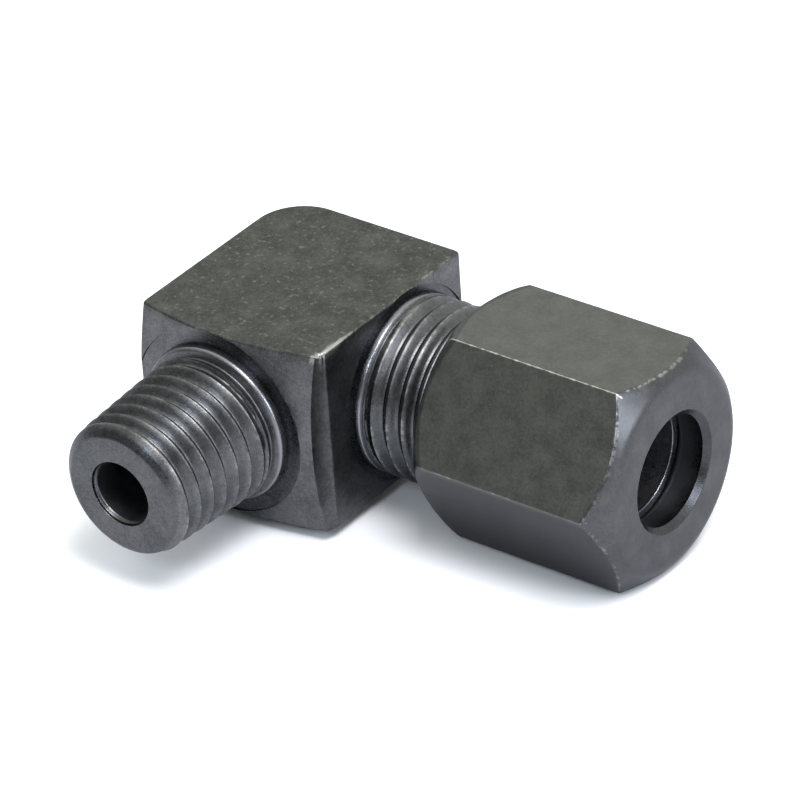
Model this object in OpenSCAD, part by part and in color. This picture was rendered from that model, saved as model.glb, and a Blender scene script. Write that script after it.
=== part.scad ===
// Elbow tube connector: a right-angle compression fitting for a 6 mm tube.
// The body is cut from an L-shaped profile bar. Its short arm is turned into a tapered
// male thread (the stud), its long arm into a threaded socket for the tube. A union nut
// runs on the socket's thread and presses a cutting ring into the socket's cone.
// Origin: the tube stop, on the tube's axis. +X runs out along the tube, the stud points
// along -Y and +Z is up.

/* [Block] */
// Thickness of the profile bar, across both axes
block_t = 11; // [10:0.1:14]
// From the stud's axis to the back side of the block
back_side = 5.1; // [4.8:0.1:7]
// From the tube's axis to the side of the block opposite the stud
heel_side = 5.1; // [4.8:0.1:7]
// Rounding of the bar's outer corner
heel_r = 2.8; // [0.5:0.1:4]
// From the stud's axis to the turned face that the tube arm grows from
nut_face = 6.4; // [6.2:0.1:8]
// From the tube's axis to the turned face that the stud grows from
stud_face = 8.4; // [7.4:0.1:10]
// From the stud's axis to the bar's inner side
inner_side_x = 6.1; // [5.6:0.1:6.2]
// From the tube's axis to the bar's inner side
inner_side_y = 5.2; // [5.1:0.1:5.8]
// Hollow rounding between the bar's two arms
inner_r = 3; // [2:0.1:5]
// Radius at which the stud's face starts to fall back
face_cone_r = 5.5; // [5.2:0.1:6.5]
// Angle by which the stud's face falls back
face_cone_angle = 18; // [5:1:30]
// Depth of the turned recess round each arm's root
recess_depth = 0.2; // [0.1:0.02:0.3]
// Chamfer on the edge of each arm's collar
collar_edge = 0.1; // [0.02:0.02:0.16]
// Width of the recess round the stud's root
stud_recess_w = 0.9; // [0.7:0.05:1]
// Width of the recess round the tube arm's root
arm_recess_w = 0.42; // [0.3:0.02:0.46]

/* [Stud] */
// From the tube's axis to the end of the stud
stud_reach = 16.7; // [15:0.1:20]
// Crest diameter of the stud's thread at its first full turn
stud_d = 7.92; // [7.6:0.02:8.4]
// Growth of the stud's crest radius for each millimetre towards the block
stud_taper = 0.05; // [0.02:0.005:0.06]
// Pitch of the stud's thread
stud_pitch = 1; // [0.75:0.05:1.25]
// Full turns of the stud's thread
stud_turns = 6; // [4:1:7]
// From the end of the stud to its first full crest
stud_lead_in = 1.6; // [1.2:0.1:2]
// Length of the chamfer at the stud's end
stud_chamfer = 0.5; // [0.2:0.05:0.9]
// Diameter of the plain land between the stud's thread and its chamfer
stud_land_d = 7.6; // [7.4:0.05:7.8]
// Length of that land
stud_land_w = 0.2; // [0.1:0.05:0.3]
// Diameter of the flat at the stud's end
stud_end_d = 6.5; // [5.5:0.1:7]
// Diameter of the bore through the stud
stud_bore_d = 3.5; // [2.5:0.1:4]
// Widening at the mouth of the stud's bore
stud_mouth = 0.12; // [0.05:0.01:0.3]
// Diameter of the collar at the stud's root
stud_collar_d = 9.08; // [8.8:0.02:9.6]
// Length of that collar proud of the block's face
stud_collar_w = 0.45; // [0.2:0.05:0.8]
// Depth of the groove beside that collar, below the line of the thread's crests
stud_groove_depth = 0.25; // [0.1:0.01:0.5]
// Rise of the half-cut turn between that groove and the first full turn
stud_run_out = 0.15; // [0.05:0.01:0.2]

/* [Tube arm] */
// From the stud's axis to the end of the tube arm
arm_reach = 15; // [14:0.1:18]
// Crest diameter of the tube arm's thread
arm_d = 10; // [9.8:0.05:10.2]
// Pitch of the tube arm's thread
arm_pitch = 1; // [0.75:0.05:1.25]
// Length of the chamfer at the end of the tube arm
arm_chamfer = 0.6; // [0.3:0.1:0.8]
// Diameter at the start of that chamfer, where the last turn is half cut
arm_land_d = 9.64; // [9.2:0.02:9.8]
// Diameter of the flat at the tube arm's end
arm_end_d = 8.8; // [8.2:0.1:9]
// Diameter of the collar at the tube arm's root
arm_collar_d = 10.06; // [9.9:0.02:10.4]
// Length of that collar proud of the block's face
arm_collar_w = 0.4; // [0.2:0.05:0.6]
// Length of the slope from that collar down to the thread's root
arm_run_out = 0.15; // [0.05:0.05:0.3]
// Diameter of the tube that the connector takes
tube_d = 6; // [5:0.1:6]
// Clearance on the tube's diameter in the socket
tube_clearance = 0.1; // [0.05:0.01:0.2]
// From the stud's axis to the stop that the tube's end meets
tube_stop = 9.5; // [8.5:0.1:11]
// Widening of the socket's cone at its mouth, over the tube's diameter
cone_mouth_w = 1.5; // [1.2:0.1:1.8]
// Angle of the cone, from one side to the other
cone_angle = 24; // [20:1:28]
// Diameter of the bore that runs on from the socket
flow_bore_d = 4.5; // [3:0.1:4.8]

/* [Union nut] */
// Width of the nut across its flats
nut_af = 12; // [12:0.1:14]
// Length of the nut
nut_len = 12.5; // [11.5:0.1:15]
// Radius of the nut's flat front end
nut_front_r = 5.55; // [5:0.05:5.8]
// Angle of the chamfer that is turned on the nut's front end
nut_front_angle = 40; // [25:1:50]
// Radius of the nut's flat back end
nut_back_r = 5.8; // [5.5:0.05:5.9]
// Angle of the chamfer that is turned on the nut's back end
nut_back_angle = 45; // [25:1:50]
// Turn of the nut's flats about the tube, from lying level
nut_turn = -2.5; // [-30:0.5:30]
// Clearance on the tube's diameter in the nut's hole
nut_hole_clearance = 0.16; // [0.1:0.02:0.4]
// Length of that hole, from the front end to the nut's cone
nut_hole_len = 1.65; // [1.2:0.05:2]
// Chamfer at the mouth of that hole
nut_mouth = 0.33; // [0.1:0.01:0.5]
// Length of the nut's thread, from its back end
nut_thread_len = 6.4; // [6:0.1:7]
// Chamfer at the mouth of that thread
nut_thread_mouth = 0.35; // [0.2:0.05:0.5]
// Diameter of the plain bore between the nut's thread and its cone
nut_relief_d = 8.92; // [8.6:0.02:9]
// Clearance on the diameter between the two threads
thread_clearance = 0.06; // [0.04:0.01:0.1]
// How far the nut is backed off from finger tight
nut_slack = 1.43; // [0.5:0.01:2.5]

/* [Cutting ring] */
// Length of the cutting ring
ring_len = 6.5; // [5.8:0.1:7]
// Clearance on the tube's diameter in the ring
ring_clearance = 0.14; // [0.1:0.01:0.2]
// Thickness of the ring at its widest
ring_wall = 0.93; // [0.8:0.01:1.2]
// Thickness of the ring's nose
ring_nose_wall = 0.28; // [0.24:0.01:0.4]
// Thickness of the ring's back end
ring_back_wall = 0.5; // [0.4:0.05:0.6]
// From the ring's nose to the first of its two cutting edges
ring_lead = 0.3; // [0.2:0.05:0.5]
// Width of the hollow behind each cutting edge
ring_hollow_w = 0.9; // [0.5:0.1:1.2]
// Depth of those hollows
ring_hollow_depth = 0.12; // [0.05:0.01:0.2]
// Land between the first hollow and the second cutting edge
ring_land = 0.2; // [0.1:0.05:0.4]
// Gap left between the ring's cones and those that it seats in
seat_gap = 0.04; // [0.02:0.01:0.1]

/* [Hidden] */
$fn = 48;
steel_dark = [0.29, 0.30, 0.29];
steel_nut = [0.34, 0.35, 0.34];
steel_ring = [0.42, 0.42, 0.44];
// Depth, crest and root of a metric thread, as shares of its pitch
thread_depth = 0.6134;
thread_crest = 0.125;
thread_root = 0.167;
// A length that reaches past everything, and how far a cut runs on past what it opens
far = 60;
past = 0.5;

stud_x = -tube_stop;
socket_r = (tube_d + tube_clearance) / 2;
cone_slope = tan(cone_angle / 2);
cone_mouth_r = (tube_d + cone_mouth_w) / 2;
cone_len = (cone_mouth_r - socket_r) / cone_slope;
arm_end = arm_reach - tube_stop;
arm_face = nut_face - tube_stop;

// The ring seats where its nose meets the cone, and the nut where its cone meets the ring
ring_bore_r = (tube_d + ring_clearance) / 2;
ring_nose_r = ring_bore_r + ring_nose_wall;
ring_r = ring_bore_r + ring_wall;
ring_back_r = ring_bore_r + ring_back_wall;
ring_seated = arm_end - (cone_mouth_r - ring_nose_r - seat_gap) / cone_slope;
ring_x = ring_seated + nut_slack;
ring_end = ring_x + ring_len;
nut_hole_r = (tube_d + nut_hole_clearance) / 2;
nut_cone_x = ring_end + ring_back_r + seat_gap * sqrt(2) - nut_hole_r;
nut_front = nut_cone_x + nut_hole_len;
nut_back = nut_front - nut_len;

// One ridge of a thread: its foot, its crest and its foot again, as [radius, distance]
function ridge(at, r, pitch) = let (
        foot = (0.5 - thread_root / 2) * pitch,
        crest = thread_crest / 2 * pitch,
        root_r = r - thread_depth * pitch)
    [[root_r, at - foot], [r, at - crest], [r, at + crest], [root_r, at + foot]];

// Places an arm that is turned about Z: the stud's along -Y, the tube's along +X
module along_stud() translate([stud_x, 0, 0]) rotate([90, 0, 0]) children();
module along_tube() rotate([0, 90, 0]) children();

// The bar's section: two arms, a rounded heel and a hollow rounding between the arms
module profile() {
    hollow = [inner_side_x + inner_r, -inner_side_y - inner_r];
    difference() {
        union() {
            translate([-back_side, -stud_face])
                square([back_side + inner_side_x, stud_face + heel_side]);
            translate([-back_side, -inner_side_y])
                square([back_side + nut_face, inner_side_y + heel_side]);
            difference() {
                translate([0, -stud_face]) square([nut_face, stud_face]);
                translate(hollow) circle(r = inner_r);
                translate([hollow[0], -far]) square([far, far]);
                translate([0, hollow[1] - far]) square([far, far]);
            }
        }
        translate([-back_side, heel_side]) difference() {
            translate([-heel_r, -heel_r]) square(2 * heel_r);
            translate([heel_r, -heel_r]) circle(r = heel_r);
            translate([heel_r, -far]) square([far, 2 * far]);
            translate([-far, -far - heel_r]) square([2 * far, far]);
        }
    }
}

// Everything inside the stud's turned face, which falls back outside face_cone_r
module stud_face_form() along_stud() rotate_extrude()
    polygon([[0, -far], [far, -far],
             [far, stud_face - (far - face_cone_r) * tan(face_cone_angle)],
             [face_cone_r, stud_face], [0, stud_face]]);

// The tool's hollow round an arm's root: a flat floor beside the collar, then a slope up
module recess(collar_r, width, face) rotate_extrude()
    polygon([[collar_r - past, face - recess_depth],
             [collar_r + width / 2, face - recess_depth], [collar_r + width, face],
             [collar_r + width, face + past], [collar_r - past, face + past]]);

// The stud from the block's middle to its end: collar, run-out groove, ridges, chamfer
module stud() {
    collar_r = stud_collar_d / 2;
    collar_end = stud_face + stud_collar_w;
    first = stud_reach - stud_lead_in;
    last = first - (stud_turns - 1) * stud_pitch;
    groove_r = stud_d / 2 + stud_taper * (first - collar_end) - stud_groove_depth;
    turns = [for (i = [stud_turns - 1 : -1 : 0])
        each ridge(first - i * stud_pitch, stud_d / 2 + stud_taper * i * stud_pitch, stud_pitch)];
    along_stud() rotate_extrude() polygon(concat(
        [[0, 0], [collar_r, 0], [collar_r, collar_end - collar_edge],
         [collar_r - collar_edge, collar_end], [groove_r, collar_end + collar_edge],
         [groove_r + stud_run_out, (collar_end + last) / 2]],
        turns,
        [[stud_land_d / 2, stud_reach - stud_chamfer - stud_land_w],
         [stud_land_d / 2, stud_reach - stud_chamfer],
         [stud_end_d / 2, stud_reach], [0, stud_reach]]));
}

// The tube arm from the block's middle to its end: collar, ridges, chamfer
module tube_arm() {
    collar_r = arm_collar_d / 2;
    collar_end = arm_face + arm_collar_w;
    first = arm_end - arm_chamfer + thread_crest * arm_pitch / 2 - arm_pitch;
    count = round((first - collar_end) / arm_pitch);
    turns = [for (i = [count - 1 : -1 : 0])
        each ridge(first - i * arm_pitch, arm_d / 2, arm_pitch)];
    root_r = arm_d / 2 - thread_depth * arm_pitch;
    along_tube() rotate_extrude() polygon(concat(
        [[0, stud_x], [collar_r, stud_x], [collar_r, collar_end - collar_edge],
         [collar_r - collar_edge, collar_end], [root_r, collar_end + arm_run_out]],
        turns,
        [[arm_land_d / 2, arm_end - arm_chamfer], [arm_end_d / 2, arm_end], [0, arm_end]]));
}

// The tube's way in: cone, socket, stop and the bore that runs on to the stud's axis
module tube_way() along_tube() rotate_extrude()
    polygon([[0, stud_x], [flow_bore_d / 2, stud_x], [flow_bore_d / 2, 0], [socket_r, 0],
             [socket_r, arm_end - cone_len], [cone_mouth_r, arm_end],
             [cone_mouth_r, arm_end + past], [0, arm_end + past]]);

// The bore through the stud, with its widened mouth
module stud_way() along_stud() rotate_extrude()
    polygon([[0, -flow_bore_d / 2], [stud_bore_d / 2, -flow_bore_d / 2],
             [stud_bore_d / 2, stud_reach - stud_mouth],
             [stud_bore_d / 2 + stud_mouth, stud_reach],
             [stud_bore_d / 2 + stud_mouth, stud_reach + past], [0, stud_reach + past]]);

module elbow_body() color(steel_dark) difference() {
    union() {
        difference() {
            intersection() {
                translate([stud_x, 0, -block_t / 2]) linear_extrude(block_t) profile();
                stud_face_form();
            }
            along_stud() recess(stud_collar_d / 2, stud_recess_w, stud_face);
            along_tube() recess(arm_collar_d / 2, arm_recess_w, arm_face);
        }
        stud();
        tube_arm();
    }
    tube_way();
    stud_way();
}

// The hollow behind a cutting edge: a square edge, a floor and a slope back to the bore
function ring_hollow(edge) = let (end = edge + ring_hollow_w)
    [[ring_bore_r, end], [ring_bore_r + ring_hollow_depth, end - ring_hollow_depth],
     [ring_bore_r + ring_hollow_depth, edge], [ring_bore_r, edge]];

// A slim cone at the nose, two cutting edges inside it, and a bevelled back
module cutting_ring() color(steel_ring) {
    cone_end = ring_x + (ring_r - ring_nose_r) / cone_slope;
    first_edge = ring_x + ring_lead;
    along_tube() rotate_extrude() polygon(concat(
        [[ring_bore_r, ring_x], [ring_nose_r, ring_x], [ring_r, cone_end],
         [ring_r, ring_end - (ring_r - ring_back_r)], [ring_back_r, ring_end],
         [ring_bore_r, ring_end]],
        ring_hollow(first_edge + ring_hollow_w + ring_land),
        ring_hollow(first_edge)));
}

// The hexagon between its two turned chamfers
module nut_form() intersection() {
    corner_r = nut_af / sqrt(3);
    outer_r = corner_r + past;
    along_tube() translate([0, 0, nut_back]) rotate([0, 0, 30])
        cylinder(h = nut_len, r = corner_r, $fn = 6);
    along_tube() rotate_extrude()
        polygon([[0, nut_back], [nut_back_r, nut_back],
                 [outer_r, nut_back + (outer_r - nut_back_r) * tan(nut_back_angle)],
                 [outer_r, nut_front - (outer_r - nut_front_r) * tan(nut_front_angle)],
                 [nut_front_r, nut_front], [0, nut_front]]);
}

// The nut's hollow: thread, plain bore, cone against the ring, and the tube's hole
module nut_way() {
    thread_r = (arm_d + thread_clearance) / 2;
    relief_r = nut_relief_d / 2;
    thread_end = nut_back + nut_thread_len;
    along_tube() rotate_extrude() polygon([
        [0, nut_back - past], [thread_r + nut_thread_mouth, nut_back - past],
        [thread_r + nut_thread_mouth, nut_back], [thread_r, nut_back + nut_thread_mouth],
        [thread_r, thread_end], [relief_r, thread_end + thread_r - relief_r],
        [relief_r, nut_cone_x - (relief_r - nut_hole_r)], [nut_hole_r, nut_cone_x],
        [nut_hole_r, nut_front - nut_mouth], [nut_hole_r + nut_mouth, nut_front],
        [nut_hole_r + nut_mouth, nut_front + past], [0, nut_front + past]]);
}

module union_nut() color(steel_nut) rotate([nut_turn, 0, 0]) difference() {
    nut_form();
    nut_way();
}

elbow_body();
cutting_ring();
union_nut();
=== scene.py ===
"""Looks of the elbow tube connector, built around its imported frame.

Three pieces are shown: the elbow with its two cut threads, the union nut and the cutting ring.
Each is worked out in millimetres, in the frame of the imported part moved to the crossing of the
two arms' axes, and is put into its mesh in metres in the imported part's own frame.
"""

import logging
import math
from dataclasses import dataclass
from enum import Enum
from typing import Callable, ClassVar, Sequence

import bpy
import numpy as np
from mathutils import Matrix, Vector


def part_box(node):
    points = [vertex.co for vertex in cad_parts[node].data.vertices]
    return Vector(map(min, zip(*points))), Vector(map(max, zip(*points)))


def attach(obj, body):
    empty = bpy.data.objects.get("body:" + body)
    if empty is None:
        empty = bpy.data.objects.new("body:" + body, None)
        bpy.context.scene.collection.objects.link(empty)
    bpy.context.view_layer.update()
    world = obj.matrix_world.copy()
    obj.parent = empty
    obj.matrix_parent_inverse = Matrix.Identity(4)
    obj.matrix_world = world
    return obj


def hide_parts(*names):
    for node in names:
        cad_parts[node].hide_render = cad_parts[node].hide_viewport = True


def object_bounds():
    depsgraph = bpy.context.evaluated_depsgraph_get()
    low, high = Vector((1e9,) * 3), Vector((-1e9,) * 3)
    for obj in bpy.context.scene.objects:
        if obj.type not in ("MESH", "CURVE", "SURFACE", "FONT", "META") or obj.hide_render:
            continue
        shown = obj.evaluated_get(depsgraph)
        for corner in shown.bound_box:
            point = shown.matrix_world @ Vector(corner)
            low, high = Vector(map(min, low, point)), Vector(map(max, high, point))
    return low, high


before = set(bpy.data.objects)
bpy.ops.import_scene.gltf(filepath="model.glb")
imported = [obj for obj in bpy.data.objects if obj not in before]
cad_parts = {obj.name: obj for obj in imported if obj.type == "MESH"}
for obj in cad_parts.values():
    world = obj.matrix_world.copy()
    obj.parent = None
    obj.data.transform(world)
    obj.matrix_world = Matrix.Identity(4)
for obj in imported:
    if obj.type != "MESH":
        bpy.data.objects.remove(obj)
CAD_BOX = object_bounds()

MM = 0.001
# Two points nearer than this, in millimetres, are one point of a mesh
WELD = 0.0005
# Columns round a turned surface: the threads, the ring and the roots' hollows, and the bores
THREAD_COLUMNS = 176
RING_COLUMNS = 160
BORE_COLUMNS = 120
LOG = logging.getLogger("connector")


def box_mm(node: str) -> tuple[np.ndarray, np.ndarray]:
    """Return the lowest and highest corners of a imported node, in millimetres."""
    low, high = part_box(node)
    return np.array(low) / MM, np.array(high) / MM


@dataclass(frozen=True)
class Axis:
    """An axis that a piece is turned about. Its station 0 is where the arms' axes cross.

    A point is: crossing + station along + radius (cosine zero + sine quarter). Along is zero
    crossed with quarter, so an angle that grows turns right-handed about along.
    """

    along: tuple[float, float, float]
    zero: tuple[float, float, float]
    quarter: tuple[float, float, float]

    def place(self, station: np.ndarray, radius: np.ndarray, angle: np.ndarray) -> np.ndarray:
        """Return points in millimetres from the crossing.

        Args:
            station: distances along the axis.
            radius: distances from the axis.
            angle: angles about the axis, in radians.

        Returns:
            An array with one more dimension than the arguments, of length 3.
        """
        out = np.cos(angle)[..., None] * np.array(self.zero)
        out = out + np.sin(angle)[..., None] * np.array(self.quarter)
        return station[..., None] * np.array(self.along) + radius[..., None] * out

    def read(self, points: np.ndarray) -> tuple[np.ndarray, np.ndarray, np.ndarray]:
        """Work out where points lie about the axis, the other way round from place.

        Args:
            points: (n, 3) points in millimetres from the crossing.

        Returns:
            Their stations, radii and angles.
        """
        across = points @ np.array(self.zero)
        up = points @ np.array(self.quarter)
        return points @ np.array(self.along), np.hypot(across, up), np.arctan2(up, across)


TUBE_AXIS = Axis(along=(1, 0, 0), zero=(0, 1, 0), quarter=(0, 0, 1))
STUD_AXIS = Axis(along=(0, -1, 0), zero=(1, 0, 0), quarter=(0, 0, 1))


def crossing() -> np.ndarray:
    """Return where the two axes cross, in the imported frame, in millimetres.

    The stud's axis lies the tube stop's depth behind the frame's origin. The arm's end and that
    depth add up to the arm's reach.
    """
    _, high = box_mm("elbow_body")
    return np.array([high[0] - Elbow.arm_reach, 0.0, 0.0])


def eased(points: np.ndarray, easing: Sequence[float], steps: int = 5,
          closed: bool = False) -> np.ndarray:
    """Round the corners of lines of points.

    A corner P between A and B gives way to the parabola (1-t)^2 S + 2t(1-t) P + t^2 E, where S
    and E lie the corner's easing away from P, towards A and B, at most 0.45 of the way.

    Args:
        points: an array (..., n, 2) of lines of n points.
        easing: n lengths; 0 leaves a point as it is.
        steps: points on each parabola.
        closed: whether the last point leads back to the first.

    Returns:
        An array (..., n * steps, 2). Points that are left as they are occur several times.
    """
    before = np.roll(points, 1, axis=-2)
    after = np.roll(points, -1, axis=-2)
    if not closed:
        before[..., 0, :] = points[..., 0, :]
        after[..., -1, :] = points[..., -1, :]

    def towards(other: np.ndarray) -> np.ndarray:
        """Return the points an easing away from the corners, on the way to their neighbours."""
        gap = np.linalg.norm(other - points, axis=-1)
        share = np.asarray(easing) / np.maximum(gap, 1e-9)
        return points + (other - points) * np.minimum(share, 0.45)[..., None]

    start = towards(before)[..., None, :]
    end = towards(after)[..., None, :]
    middle = points[..., None, :]
    t = np.linspace(0, 1, steps)[:, None]
    curve = (1 - t) ** 2 * start + 2 * t * (1 - t) * middle + t ** 2 * end
    return curve.reshape(*points.shape[:-2], -1, 2)


def spaced(line: np.ndarray, most: float) -> np.ndarray:
    """Add points along a line, so that no step is longer than most.

    The new points lie on the straight steps: a step of length L is cut into L / most parts,
    rounded up.

    Args:
        line: (n, 2) points.
        most: the longest step.

    Returns:
        The line with its new points, without points that lie on the one before.
    """
    step = np.linalg.norm(np.diff(line, axis=0), axis=1)
    line = line[np.concatenate([[True], step > WELD])]
    step = step[step > WELD]
    travelled = np.concatenate([[0], np.cumsum(step)])
    parts = np.maximum(np.ceil(step / most), 1).astype(int)
    starts = np.repeat(travelled[:-1], parts)
    lengths = np.repeat(step / parts, parts)
    order = np.arange(parts.sum()) - np.repeat(np.cumsum(parts) - parts, parts)
    at = np.append(starts + order * lengths, travelled[-1])
    return np.stack([np.interp(at, travelled, line[:, k]) for k in range(2)], axis=1)


def waver(along: np.ndarray, seed: float) -> np.ndarray:
    """Work out an uneven wave: a sum of five sines whose lengths don't fit into each other.

    Args:
        along: where the wave is read.
        seed: another wave for another seed.

    Returns:
        Values of about -1 to 1.
    """
    waves = np.array([1.0, 1.73, 2.91, 5.17, 8.83])
    weight = np.array([0.35, 0.3, 0.25, 0.2, 0.15])
    phase = seed * np.array([1.0, 2.4, 4.1, 7.7, 11.3])
    return (np.sin(along[..., None] * waves + phase) * weight).sum(axis=-1)


def limited(value: np.ndarray | float) -> np.ndarray:
    """Return a value held between 0 and 1."""
    return np.clip(value, 0, 1)


def soft_least(a: np.ndarray, b: np.ndarray, ease: float | np.ndarray) -> np.ndarray:
    """Work out the lesser of two values, rounded off where they are near each other.

    It is min(a, b) - h^2 / (4 ease), where h is ease - |a - b|, or 0 where that is negative.

    Args:
        a: the first values.
        b: the second values.
        ease: the difference below which the lesser value is rounded off.

    Returns:
        The rounded lesser values.
    """
    near = np.maximum(ease - np.abs(a - b), 0)
    return np.minimum(a, b) - near ** 2 / (4 * ease)


@dataclass(frozen=True)
class Thread:
    """A right-hand cut thread. Its crest runs through station crest_at at angle 0."""

    pitch: float
    depth: float
    crest_at: float
    crest_share: float = 0.125
    root_share: float = 0.167
    softness: float = 0.16

    # Where the rows of the mesh cross one turn, in pitches from its crest
    rows: ClassVar[np.ndarray] = np.array(
        [-0.5, -0.455, -0.41, -0.35, -0.25, -0.15, -0.09, -0.05,
         0.0, 0.05, 0.09, 0.15, 0.25, 0.35, 0.41, 0.455])

    def fall(self, station: np.ndarray, angle: np.ndarray) -> np.ndarray:
        """Work out how far down the thread's side a place is.

        With d the distance from the nearest crest in pitches, t goes from 0 to 1 as d goes from
        the crest's edge to the root's edge. The fall is ramp(t) - ramp(t - 1), where ramp is 0
        below -s, t above s and (t + s)^2 / 4s between, so that both edges are round.

        Args:
            station: stations along the thread's axis.
            angle: angles about it.

        Returns:
            0 on a crest, 1 at a root.
        """
        turn = (station - self.crest_at) / self.pitch - angle / (2 * math.pi)
        distance = np.abs(turn - np.round(turn))
        flank = 0.5 - self.root_share / 2 - self.crest_share / 2
        t = (distance - self.crest_share / 2) / flank

        def ramp(x: np.ndarray) -> np.ndarray:
            """Return 0, then a parabola, then x."""
            rise = (np.clip(x, -self.softness, self.softness) + self.softness) ** 2
            return np.where(x > self.softness, x, rise / (4 * self.softness))

        return ramp(t) - ramp(t - 1)


STUD_THREAD = Thread(1.0, 0.5, 14.906, crest_share=0.16, softness=0.5)
# The arm and the nut share one thread, so their helices fit into each other
ARM_THREAD = Thread(1.0, 0.42, 7.04, crest_share=0.2, softness=0.5)


def ring_angles(count: int) -> np.ndarray:
    """Return evenly spaced angles round a full turn, in radians."""
    return np.arange(count) * 2 * math.pi / count


def grid_quads(index: np.ndarray) -> np.ndarray:
    """Return the quads between neighbouring rows and columns of a grid of point numbers."""
    corners = [index[:-1, :-1], index[:-1, 1:], index[1:, 1:], index[1:, :-1]]
    return np.stack(corners, axis=-1).reshape(-1, 4)


class Skin:
    """The closed surface of a turned piece, put together from stretches of rings."""

    def __init__(self, axis: Axis, angles: np.ndarray) -> None:
        """Start an empty skin.

        Args:
            axis: what the piece is turned about.
            angles: the angles of the columns, rising, within one turn.
        """
        self.axis = axis
        self.angles = angles
        self.points: list[np.ndarray] = []
        self.quads: list[np.ndarray] = []
        self.size = 0

    def _add(self, station: np.ndarray, radius: np.ndarray, wrap: int) -> None:
        """Add a grid of rows and columns.

        Args:
            station: (rows, columns) stations.
            radius: (rows, columns) radii.
            wrap: how many rows are gained each time round.
        """
        rows, columns = station.shape
        grid = self.axis.place(station, radius, np.broadcast_to(self.angles, station.shape))
        index = np.arange(rows * columns).reshape(rows, columns) + self.size
        across = np.concatenate([index[:rows - wrap], index[wrap:, :1]], axis=1)
        self.quads.append(grid_quads(across))
        if wrap:
            self.quads.append(grid_quads(index[rows - wrap - 1:]))
        self.points.append(grid.reshape(-1, 3))
        self.size += rows * columns

    def rings(self, line: np.ndarray,
              shape: Callable[[np.ndarray, np.ndarray, np.ndarray], np.ndarray] | None = None
              ) -> "Skin":
        """Add plain rings.

        Args:
            line: (n, 2) stations and radii, in the order that the surface runs.
            shape: gives the radius from station, radius and angle, where it isn't round.

        Returns:
            This skin.
        """
        station = np.repeat(line[:, :1], len(self.angles), axis=1)
        radius = np.repeat(line[:, 1:], len(self.angles), axis=1)
        if shape:
            radius = shape(station, radius, np.broadcast_to(self.angles, station.shape))
        self._add(station, radius, 0)
        return self

    def thread(self, thread: Thread, start: float, end: float,
               shape: Callable[[np.ndarray, np.ndarray], np.ndarray]) -> "Skin":
        """Add a stretch whose rows climb with a thread.

        A row's station is its place at angle 0 plus the pitch times the angle over a full turn,
        held between start and end. Row i meets row i + n after a turn, n being the rows in a
        pitch. What is held at an end folds into the ring there.

        Args:
            thread: the thread that the rows follow.
            start: the station that the stretch starts at; above end where it runs inwards.
            end: the station that it ends at.
            shape: gives the radius from station and angle.

        Returns:
            This skin.
        """
        low, high = min(start, end), max(start, end)
        first = math.floor((low - thread.crest_at) / thread.pitch) - 1
        last = math.ceil((high - thread.crest_at) / thread.pitch) + 1
        turns = np.arange(first, last + 1)[:, None] + thread.rows
        at = thread.crest_at + thread.pitch * turns.ravel()
        station = at[:, None] + thread.pitch * self.angles / (2 * math.pi)
        station = np.clip(station, low, high)
        radius = shape(station, np.broadcast_to(self.angles, station.shape))
        before = len(self.quads)
        self._add(station, radius, len(thread.rows))
        if start > end:
            self.quads[before:] = [quads[:, ::-1] for quads in self.quads[before:]]
        return self

    def made(self, name: str) -> bpy.types.Object:
        """Make an object of the skin, with the points of neighbouring stretches joined."""
        return mesh_object(name, *weld(np.concatenate(self.points), np.concatenate(self.quads)))


def weld(points: np.ndarray, quads: np.ndarray) -> tuple[np.ndarray, list[list[int]]]:
    """Join points that lie at one place.

    A quad with two neighbouring corners joined becomes a triangle, and one with more is dropped.

    Args:
        points: (n, 3) points in millimetres.
        quads: (m, 4) corners.

    Returns:
        The points that are left, and the faces as lists of corners.
    """
    keys = np.round(points / WELD).astype(np.int64)
    _, first, inverse = np.unique(keys, axis=0, return_index=True, return_inverse=True)
    quads = inverse.reshape(-1)[quads]
    same = quads == np.roll(quads, -1, axis=1)
    count = same.sum(axis=1)
    folded = quads[count == 1]
    keep = np.arange(4)[None, :] != same[count == 1].argmax(axis=1)[:, None]
    return points[first], quads[count == 0].tolist() + folded[keep].reshape(-1, 3).tolist()


def put_in(name: str, data: bpy.types.ID) -> bpy.types.Object:
    """Put an object made of a mesh, a camera or a light into the scene."""
    made = bpy.data.objects.new(name, data)
    bpy.context.scene.collection.objects.link(made)
    return made


def turn_to(made: bpy.types.Object, sides: Sequence[np.ndarray], at: np.ndarray) -> None:
    """Turn and place a camera or a light.

    Args:
        made: the camera or light, which looks against its own Z.
        sides: the directions that its X, Y and Z take.
        at: its place in metres.
    """
    turned = np.eye(4)
    turned[:3, :3] = np.stack(sides, axis=1)
    turned[:3, 3] = at
    made.matrix_world = Matrix(turned.tolist())


def mesh_object(name: str, points: np.ndarray, faces: list[list[int]]) -> bpy.types.Object:
    """Make an object at the origin with its place in its mesh.

    Args:
        name: the object's and the mesh's name.
        points: (n, 3) points in millimetres from the crossing.
        faces: each face's corners.

    Returns:
        The object, in the scene.
    """
    mesh = bpy.data.meshes.new(name)
    mesh.from_pydata(((points + crossing()) * MM).tolist(), [], faces)
    mesh.polygons.foreach_set("use_smooth", np.ones(len(mesh.polygons), bool))
    mesh.update()
    return put_in(name, mesh)


class Cut(Enum):
    """What a boolean step does with its second body."""

    JOIN = "UNION"
    TAKE = "DIFFERENCE"


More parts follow.
